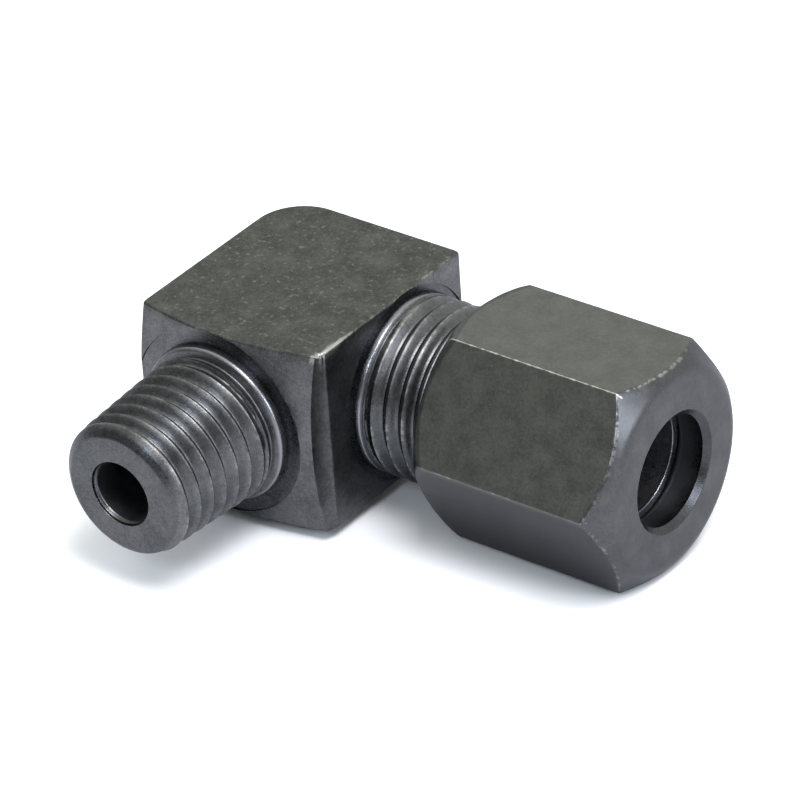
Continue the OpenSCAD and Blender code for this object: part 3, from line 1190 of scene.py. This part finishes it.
@dataclass
class CuttingRing:
    """The ring that the nut presses into the cone: two cutting edges and a bevelled back."""

    bore_r: float = 3.07
    wall: float = 0.93
    nose_wall: float = 0.28
    back_wall: float = 0.5
    lead: float = 0.3
    hollow_w: float = 0.9
    hollow_depth: float = 0.12
    land: float = 0.2
    cone_angle: float = 24.0
    crease: float = 40.0

    def build(self) -> bpy.types.Object:
        """Build the ring as a line turned about the tube's axis, with its corners eased."""
        low, high = box_mm("cutting_ring")
        nose, end = float(low[0] - crossing()[0]), float(high[0] - crossing()[0])
        slope = math.tan(math.radians(self.cone_angle / 2))
        cone_end = nose + (self.wall - self.nose_wall) / slope
        first = nose + self.lead
        second = first + self.hollow_w + self.land

        def hollow(edge: float) -> list[list[float]]:
            """Return the hollow behind a cutting edge, from its back to the edge."""
            stop, floor = edge + self.hollow_w, self.bore_r + self.hollow_depth
            return [[stop, self.bore_r], [stop - self.hollow_depth, floor],
                    [edge, floor], [edge, self.bore_r]]

        line = [[nose, self.bore_r], [nose, self.bore_r + self.nose_wall],
                [cone_end, self.bore_r + self.wall],
                [end - (self.wall - self.back_wall), self.bore_r + self.wall],
                [end, self.bore_r + self.back_wall], [end, self.bore_r],
                *hollow(second), *hollow(first), [nose, self.bore_r]]
        easing = [0, 0.05, 0.1, 0.1, 0.08, 0.05] + [0.02] * 8 + [0]
        rounded = eased(np.array(line), easing)
        ring = Skin(TUBE_AXIS, ring_angles(RING_COLUMNS)).rings(rounded).made("grip_ring")
        finish_shading(ring, self.crease)
        give_masks(ring, wear=0, turned=1, stain=0, clean=1)
        return ring


class NodeGroup:
    """A shader node group whose named inputs and outputs are numbers."""

    def __init__(self, name: str, inputs: dict[str, float], outputs: Sequence[str]) -> None:
        """Start a group.

        Args:
            name: the group's name.
            inputs: the inputs' names and defaults.
            outputs: the outputs' names.
        """
        self.tree = bpy.data.node_groups.new(name, "ShaderNodeTree")
        sockets = self.tree.interface
        for label, value in inputs.items():
            socket = sockets.new_socket(label, in_out="INPUT", socket_type="NodeSocketFloat")
            socket.default_value = value
        for label in outputs:
            sockets.new_socket(label, in_out="OUTPUT", socket_type="NodeSocketFloat")
        self.start = self.tree.nodes.new("NodeGroupInput")
        self.end = self.tree.nodes.new("NodeGroupOutput")

    def put(self, label: str, value: bpy.types.NodeSocket) -> None:
        """Lead a socket to one of the group's outputs."""
        self.tree.links.new(value, self.end.inputs[label])

    def get(self, label: str) -> bpy.types.NodeSocket:
        """Return one of the group's inputs, as it is seen inside."""
        return self.start.outputs[label]


def add_node(tree: bpy.types.NodeTree, kind: str, out: int | str = 0, settings: dict | None = None,
             **inputs: object) -> bpy.types.NodeSocket:
    """Add a node, set it up and return one of its outputs.

    Args:
        tree: the tree it goes into.
        kind: the node's type, without its leading ShaderNode.
        out: the output's place or name.
        settings: the node's own properties.
        inputs: its inputs by name, with _ for a space, or by place as i0, i1; each a socket to
            lead there or a value to set.

    Returns:
        The chosen output.
    """
    node = tree.nodes.new(f"ShaderNode{kind}")
    for key, value in (settings or {}).items():
        setattr(node, key, value)
    for key, value in inputs.items():
        place = int(key[1:]) if key[0] == "i" and key[1:].isdigit() else key.replace("_", " ")
        if isinstance(value, bpy.types.NodeSocket):
            tree.links.new(value, node.inputs[place])
        else:
            node.inputs[place].default_value = value
    return node.outputs[out]


def maths(tree: bpy.types.NodeTree, operation: str, *values: object) -> bpy.types.NodeSocket:
    """Add a Math node with sockets or numbers as its values, and return its output."""
    inputs = {f"i{place}": value for place, value in enumerate(values)}
    return add_node(tree, "Math", 0, {"operation": operation}, **inputs)


def mixed(tree: bpy.types.NodeTree, share: object, a: object,
          b: object) -> bpy.types.NodeSocket:
    """Mix two colours and return the result. Inputs 0, 6 and 7 are the share and the colours."""
    return add_node(tree, "Mix", 2, {"data_type": "RGBA"}, i0=share, i6=a, i7=b)


def between(tree: bpy.types.NodeTree, share: object, a: object,
            b: object) -> bpy.types.NodeSocket:
    """Mix two numbers and return the result. Inputs 0, 2 and 3 are the share and the numbers."""
    return add_node(tree, "Mix", 0, {"data_type": "FLOAT"}, i0=share, i2=a, i3=b)


def stepped(tree: bpy.types.NodeTree, value: bpy.types.NodeSocket, low: float, high: float,
            start: float = 0.0, end: float = 1.0) -> bpy.types.NodeSocket:
    """Map a value smoothly from low..high to start..end."""
    return add_node(tree, "MapRange", 0, {"interpolation_type": "SMOOTHSTEP"},
                    i0=value, i1=low, i2=high, i3=start, i4=end)


def noise(tree: bpy.types.NodeTree, place: bpy.types.NodeSocket, scale: bpy.types.NodeSocket,
          detail: float, roughness: float = 0.5) -> bpy.types.NodeSocket:
    """Add a Noise Texture and return its value, which is about 0.5."""
    return add_node(tree, "TexNoise", "Fac", Vector=place, Scale=scale, Detail=detail,
                    Roughness=roughness)


def mask(tree: bpy.types.NodeTree, name: str) -> bpy.types.NodeSocket:
    """Read one of the mesh's own masks."""
    return add_node(tree, "Attribute", "Fac", {"attribute_name": name})


def grain_group() -> bpy.types.NodeTree:
    """Build the coating's grain: fine crystals over soft clouds, in Object coordinates.

    Tone is about 0.5 with fine and broad changes, Cloud has only the broad ones, Height is for a
    Bump node, Speck is 1 on the few bright crystals. Size is the crystals' size in millimetres.
    A noise's scale is a share of the crystals' number per metre, so a small share is a broad one.
    """
    group = NodeGroup("coating grain", {"Size": 0.08, "Speck share": 0.5},
                      ["Tone", "Cloud", "Height", "Speck"])
    tree = group.tree
    place = add_node(tree, "TexCoord", "Object")
    per_metre = maths(tree, "DIVIDE", 1 / MM, group.get("Size"))
    fine = noise(tree, place, per_metre, 3.0, 0.6)
    broad = noise(tree, place, maths(tree, "MULTIPLY", per_metre, 0.05), 4.0, 0.55)
    middle = noise(tree, place, maths(tree, "MULTIPLY", per_metre, 0.3), 3.0, 0.6)
    fleck = noise(tree, place, maths(tree, "MULTIPLY", per_metre, 0.24), 1.0)
    tone = maths(tree, "MULTIPLY_ADD", fine, 0.45, maths(tree, "MULTIPLY", broad, 0.3))
    tone = maths(tree, "MULTIPLY_ADD", middle, 0.25, tone)
    raised = maths(tree, "MULTIPLY_ADD", group.get("Speck share"), 0.2, fleck)
    group.put("Speck", stepped(tree, raised, 0.7, 0.84))
    group.put("Tone", tone)
    group.put("Cloud", broad)
    group.put("Height", maths(tree, "ADD", fine, maths(tree, "MULTIPLY", middle, 0.8)))
    return tree


def wear_group() -> bpy.types.NodeTree:
    """Build the wear of edges: the mesh's own mask, broken up by noise.

    Bare is 1 where the steel shows through. Amount moves the threshold: more wear as it grows.
    Grain is the size of the noise in millimetres.
    """
    group = NodeGroup("edge wear", {"Amount": 0.5, "Grain": 0.25}, ["Bare"])
    tree = group.tree
    worn = mask(tree, "wear")
    place = add_node(tree, "TexCoord", "Object")
    scale = maths(tree, "DIVIDE", 1 / MM, group.get("Grain"))
    quick = noise(tree, place, scale, 4.0, 0.65)
    slow = noise(tree, place, maths(tree, "MULTIPLY", scale, 0.18), 2.0)
    uneven = maths(tree, "ADD", maths(tree, "MULTIPLY", quick, 1.5), slow)
    edge = maths(tree, "ADD", worn, maths(tree, "SUBTRACT", uneven, 2.0))
    edge = maths(tree, "ADD", edge, group.get("Amount"))
    group.put("Bare", maths(tree, "MULTIPLY", stepped(tree, edge, 0.02, 0.3), worn))
    return tree


def turning_group() -> bpy.types.NodeTree:
    """Build the fine rings that a lathe tool leaves about the tube's or the stud's axis.

    Rings is a wave of the distance from the axis plus the distance along it, so that it crosses
    flat ends and round sides alike. Along tube is 1 for the tube's axis and 0 for the stud's.
    Pitch is the rings' distance in millimetres.
    """
    group = NodeGroup("turning rings", {"Along tube": 1.0, "Pitch": 0.09}, ["Rings"])
    tree = group.tree
    place = add_node(tree, "TexCoord", "Object")
    centre = tuple(float(value) * MM for value in crossing())
    local = add_node(tree, "VectorMath", 0, {"operation": "SUBTRACT"}, i0=place, i1=centre)
    split = tree.nodes.new("ShaderNodeSeparateXYZ")
    tree.links.new(local, split.inputs[0])
    x, y, z = split.outputs
    up = maths(tree, "POWER", z, 2.0)

    def off_axis(across: bpy.types.NodeSocket) -> bpy.types.NodeSocket:
        """Return the distance from an axis: the root of across^2 + z^2."""
        return maths(tree, "SQRT", maths(tree, "ADD", maths(tree, "POWER", across, 2.0), up))

    tube = maths(tree, "ADD", off_axis(y), x)
    stud = maths(tree, "SUBTRACT", off_axis(x), y)
    chosen = between(tree, group.get("Along tube"), stud, tube)
    turns = maths(tree, "DIVIDE", chosen, maths(tree, "MULTIPLY", group.get("Pitch"), MM))
    wave = maths(tree, "SINE", maths(tree, "MULTIPLY", turns, 2 * math.pi))
    rough = add_node(tree, "TexNoise", "Fac", {"noise_dimensions": "1D"}, W=turns, Scale=0.37,
                     Detail=2.0)
    group.put("Rings", maths(tree, "MULTIPLY", wave, rough))
    return tree


@dataclass(frozen=True)
class Steel:
    """A finish of coated steel.

    Tones are linear colours: drawn and turned are those of the coating on drawn and on turned
    steel, clean is steel with next to no coating, warm the hue of the coating's clouds, the
    painted shade tone that of the shade and dark reflection painted into the hollows, the grooves
    and the undersides, bare the steel that shows on worn edges, speck the bright crystals, and
    edge_tint the reflection at a grazing angle. A cover is how much of its tone is mixed in at
    most, and speck_share how many crystals are bright. Contrast is how far the grain lightens
    and darkens the tone, rings how strongly lathe rings show, and along_tube which axis they go
    round: 1 for the tube's, 0 for the stud's.
    """

    name: str
    drawn: tuple[float, float, float] = (0.073, 0.075, 0.0705)
    turned: tuple[float, float, float] = (0.107, 0.106, 0.113)
    clean: tuple[float, float, float] = (0.32, 0.32, 0.36)
    warm: tuple[float, float, float] = (0.12, 0.105, 0.088)
    # Tone of the painted shade and dark reflection in hollows, grooves and undersides
    stain: tuple[float, float, float] = (0.036, 0.042, 0.048)
    bare: tuple[float, float, float] = (0.42, 0.42, 0.4)
    speck: tuple[float, float, float] = (0.155, 0.162, 0.148)
    edge_tint: tuple[float, float, float] = (0.7, 0.7, 0.73)
    warm_cover: float = 0.25
    stain_cover: float = 0.85
    drawn_rough: float = 0.44
    turned_rough: float = 0.36
    bare_rough: float = 0.34
    rough_spread: float = 0.06
    stain_gloss: float = 0.16
    contrast: float = 0.45
    grain_mm: float = 0.07
    speck_share: float = 0.46
    wear: float = 0.55
    rings: float = 0.25
    along_tube: float = 1.0
    bump_mm: float = 0.012

    def material(self, groups: dict[str, bpy.types.NodeTree]) -> bpy.types.Material:
        """Build the material.

        Args:
            groups: the shared node groups by name.

        Returns:
            The material, with colour, roughness and bump that change over the surface.
        """
        made = bpy.data.materials.new(self.name)
        made.use_nodes = True
        tree = made.node_tree
        tree.nodes.clear()

        def use(name: str, **values: float) -> bpy.types.Node:
            """Place a shared group with its own values."""
            node = tree.nodes.new("ShaderNodeGroup")
            node.node_tree = groups[name]
            for label, value in values.items():
                node.inputs[label.replace("_", " ")].default_value = value
            return node

        grain = use("grain", Size=self.grain_mm, Speck_share=self.speck_share)
        wear = use("wear", Amount=self.wear)
        rings = use("turning", Along_tube=self.along_tube)
        turned, stain, clean = (mask(tree, name) for name in ("turned", "stain", "clean"))
        bare = wear.outputs["Bare"]
        colour = mixed(tree, turned, (*self.drawn, 1), (*self.turned, 1))
        warmth = stepped(tree, grain.outputs["Cloud"], 0.5, 0.8, 0.0, self.warm_cover)
        colour = mixed(tree, warmth, colour, (*self.warm, 1))
        tone = stepped(tree, grain.outputs["Tone"], 0.34, 0.68, 1 - self.contrast,
                       1 + self.contrast)
        colour = add_node(tree, "VectorMath", 0, {"operation": "SCALE"}, i0=colour, Scale=tone)
        drawn_only = maths(tree, "MULTIPLY_ADD", turned, -0.7, 0.75)
        speck = maths(tree, "MULTIPLY", grain.outputs["Speck"], drawn_only)
        colour = mixed(tree, speck, colour, (*self.speck, 1))
        # Painted shade: its tone is mixed in by its mask, which also makes the surface glossier
        shade_share = maths(tree, "MULTIPLY", stain, self.stain_cover)
        colour = mixed(tree, shade_share, colour, (*self.stain, 1))
        colour = mixed(tree, clean, colour, (*self.clean, 1))
        colour = mixed(tree, bare, colour, (*self.bare, 1))
        spread = stepped(tree, grain.outputs["Tone"], 0.3, 0.7, -self.rough_spread,
                         self.rough_spread)
        rough = between(tree, turned, self.drawn_rough, self.turned_rough)
        rough = between(tree, bare, maths(tree, "ADD", rough, spread), self.bare_rough)
        rough = maths(tree, "MULTIPLY_ADD", stain, -self.stain_gloss, rough)
        ringed = maths(tree, "MULTIPLY", rings.outputs["Rings"],
                       maths(tree, "MULTIPLY", turned, self.rings))
        height = maths(tree, "ADD", grain.outputs["Height"], ringed)
        bump = add_node(tree, "Bump", 0, None, Strength=0.5, Distance=self.bump_mm * MM,
                        Height=height)
        shader = tree.nodes.new("ShaderNodeBsdfPrincipled")
        shader.inputs["Metallic"].default_value = 1.0
        shader.inputs["Specular Tint"].default_value = (*self.edge_tint, 1)
        tree.links.new(colour, shader.inputs["Base Color"])
        tree.links.new(rough, shader.inputs["Roughness"])
        tree.links.new(bump, shader.inputs["Normal"])
        out = tree.nodes.new("ShaderNodeOutputMaterial")
        tree.links.new(shader.outputs[0], out.inputs["Surface"])
        return made


class Finish(Enum):
    """The three finishes of the connector."""

    BODY = Steel("phosphated body steel", along_tube=0.0)
    # The nut's painted shade tone, on its lower flats and mouth, is darker than the body's
    NUT = Steel("phosphated nut steel", drawn=(0.115, 0.117, 0.110), turned=(0.077, 0.076, 0.082),
                bare=(0.62, 0.62, 0.62), stain=(0.026, 0.0255, 0.031), speck_share=0.05,
                contrast=0.24, wear=0.6, grain_mm=0.06)
    RING = Steel("ring steel", clean=(0.4, 0.395, 0.43), speck_share=0.02, rings=0.7,
                 turned_rough=0.3)


@dataclass
class Camera:
    """The photograph's viewpoint, fitted to the object's planes and circles.

    The focal length and the picture's centre are in pixels of its 800 by 800 frame, angles in
    degrees, distances in millimetres from the crossing.
    """

    azimuth: float = 38.577
    elevation: float = 32.232
    roll: float = -3.925
    distance: float = 290.82
    target: tuple[float, float, float] = (7.023, -2.145, 0.0)
    focal: float = 5491.65
    centre: tuple[float, float] = (395.07, 403.15)
    frame_px: float = 800.0
    sensor: float = 36.0
    clip_mm: tuple[float, float] = (10.0, 20000.0)

    def place(self) -> None:
        """Make the camera and give it to the scene.

        Back points from the target to the camera, right is square to it and level, and up is
        square to both. Right and up are then turned by the roll.
        """
        data = bpy.data.cameras.new("camera")
        data.sensor_width = self.sensor
        data.lens = self.focal / self.frame_px * self.sensor
        data.shift_x = (self.frame_px / 2 - self.centre[0]) / self.frame_px
        data.shift_y = (self.centre[1] - self.frame_px / 2) / self.frame_px
        data.clip_start, data.clip_end = (limit * MM for limit in self.clip_mm)
        turn, rise, roll = (math.radians(v) for v in (self.azimuth, self.elevation, self.roll))
        back = np.array([math.sin(turn) * math.cos(rise), -math.cos(turn) * math.cos(rise),
                         math.sin(rise)])
        right = np.cross([0.0, 0.0, 1.0], back)
        right /= np.linalg.norm(right)
        up = np.cross(back, right)
        rolled_right = math.cos(roll) * right + math.sin(roll) * up
        rolled_up = math.cos(roll) * up - math.sin(roll) * right
        at = (np.array(self.target) + crossing() + back * self.distance) * MM
        camera = put_in("camera", data)
        turn_to(camera, [rolled_right, rolled_up, back], at)
        bpy.context.scene.camera = camera


@dataclass(frozen=True)
class Lamp:
    """A soft square light.

    Towards is the direction from the object to it. Its distance and its side are in metres, its
    power is in watts.
    """

    name: str
    towards: tuple[float, float, float]
    distance: float
    side: float
    power: float
    tint: tuple[float, float, float]

    def hang(self) -> None:
        """Put the light into the scene, with one side nearly level."""
        data = bpy.data.lights.new(self.name, "AREA")
        data.shape = "SQUARE"
        data.size = self.side
        data.energy = self.power
        data.color = self.tint
        way = np.array(self.towards, float)
        way /= np.linalg.norm(way)
        level = np.cross([0.0, 0.3, 1.0], way)
        level /= np.linalg.norm(level)
        turn_to(put_in(self.name, data), [level, np.cross(way, level), way], way * self.distance)


@dataclass
class Studio:
    """A plain pale floor under soft lights.

    The floor's side is in metres. The sky's strength runs from dim to bright.
    """

    floor_tone: tuple[float, float, float] = (0.82, 0.82, 0.87)
    floor_side: float = 6.0
    floor_rough: float = 0.9
    floor_shine: float = 0.1
    sky_tint: tuple[float, float, float] = (0.97, 1.0, 0.93)
    sky_dim: float = 0.32
    sky_bright: float = 1.4
    lamps: tuple[Lamp, ...] = (
        Lamp("overhead", (0.36, -0.18, 0.91), 0.6, 0.24, 3.0, (1.0, 1.0, 0.98)),
        Lamp("window", (0.91, -0.05, 0.41), 0.7, 0.26, 2.4, (0.82, 0.91, 1.0)),
        Lamp("glint", (0.17, -0.73, 0.67), 0.6, 0.13, 0.75, (0.78, 0.9, 1.0)))

    def floor(self) -> None:
        """Lay the floor where the part's lowest point is."""
        low = CAD_BOX[0][2]
        half = self.floor_side / 2
        mesh = bpy.data.meshes.new("floor")
        corners = [(-half, -half, low), (half, -half, low), (half, half, low), (-half, half, low)]
        mesh.from_pydata(corners, [], [(0, 1, 2, 3)])
        floor = put_in("floor", mesh)
        paint = bpy.data.materials.new("pale floor")
        paint.use_nodes = True
        shader = paint.node_tree.nodes["Principled BSDF"]
        shader.inputs["Base Color"].default_value = (*self.floor_tone, 1)
        shader.inputs["Roughness"].default_value = self.floor_rough
        shader.inputs["Specular IOR Level"].default_value = self.floor_shine
        mesh.materials.append(paint)

    def world(self) -> None:
        """Give the surroundings: bright above and behind, dim in front, where the viewer is.

        The strength steps up with the share of a direction that lies along (0, 0.6, 0.8).
        """
        world = bpy.data.worlds.new("studio")
        bpy.context.scene.world = world
        world.use_nodes = True
        tree = world.node_tree
        tree.nodes.clear()
        way = add_node(tree, "TexCoord", "Generated")
        lie = add_node(tree, "VectorMath", "Value", {"operation": "DOT_PRODUCT"}, i0=way,
                       i1=(0.0, 0.6, 0.8))
        strength = stepped(tree, lie, -0.1, 0.74, self.sky_dim, self.sky_bright)
        shine = tree.nodes.new("ShaderNodeBackground")
        shine.inputs["Color"].default_value = (*self.sky_tint, 1)
        tree.links.new(strength, shine.inputs["Strength"])
        out = tree.nodes.new("ShaderNodeOutputWorld")
        tree.links.new(shine.outputs[0], out.inputs["Surface"])

    def build(self) -> None:
        """Set up floor, lights and surroundings."""
        self.floor()
        for lamp in self.lamps:
            lamp.hang()
        self.world()


def show(piece: bpy.types.Object, node: str, body: str,
         material: bpy.types.Material) -> None:
    """Dress a piece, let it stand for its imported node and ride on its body.

    Args:
        piece: the finished piece.
        node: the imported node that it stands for.
        body: the body that it rides on.
        material: the material.
    """
    piece.data.materials.clear()
    piece.data.materials.append(material)
    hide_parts(node)
    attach(piece, body)
    LOG.info("%s stands for %s and rides on %s: %d faces", piece.name, node, body,
             len(piece.data.polygons))


def main() -> None:
    """Build the pieces, the camera and the studio."""
    logging.basicConfig(level=logging.INFO, format="%(name)s: %(message)s")
    bpy.context.scene.view_settings.view_transform = "Standard"
    groups = {"grain": grain_group(), "wear": wear_group(), "turning": turning_group()}
    Camera().place()
    show(Elbow().build(), "elbow_body", "elbow", Finish.BODY.value.material(groups))
    show(CuttingRing().build(), "cutting_ring", "ring",
         Finish.RING.value.material(groups))
    show(UnionNut().build(), "union_nut", "nut", Finish.NUT.value.material(groups))
    Studio().build()


if __name__ == "__main__":
    main()
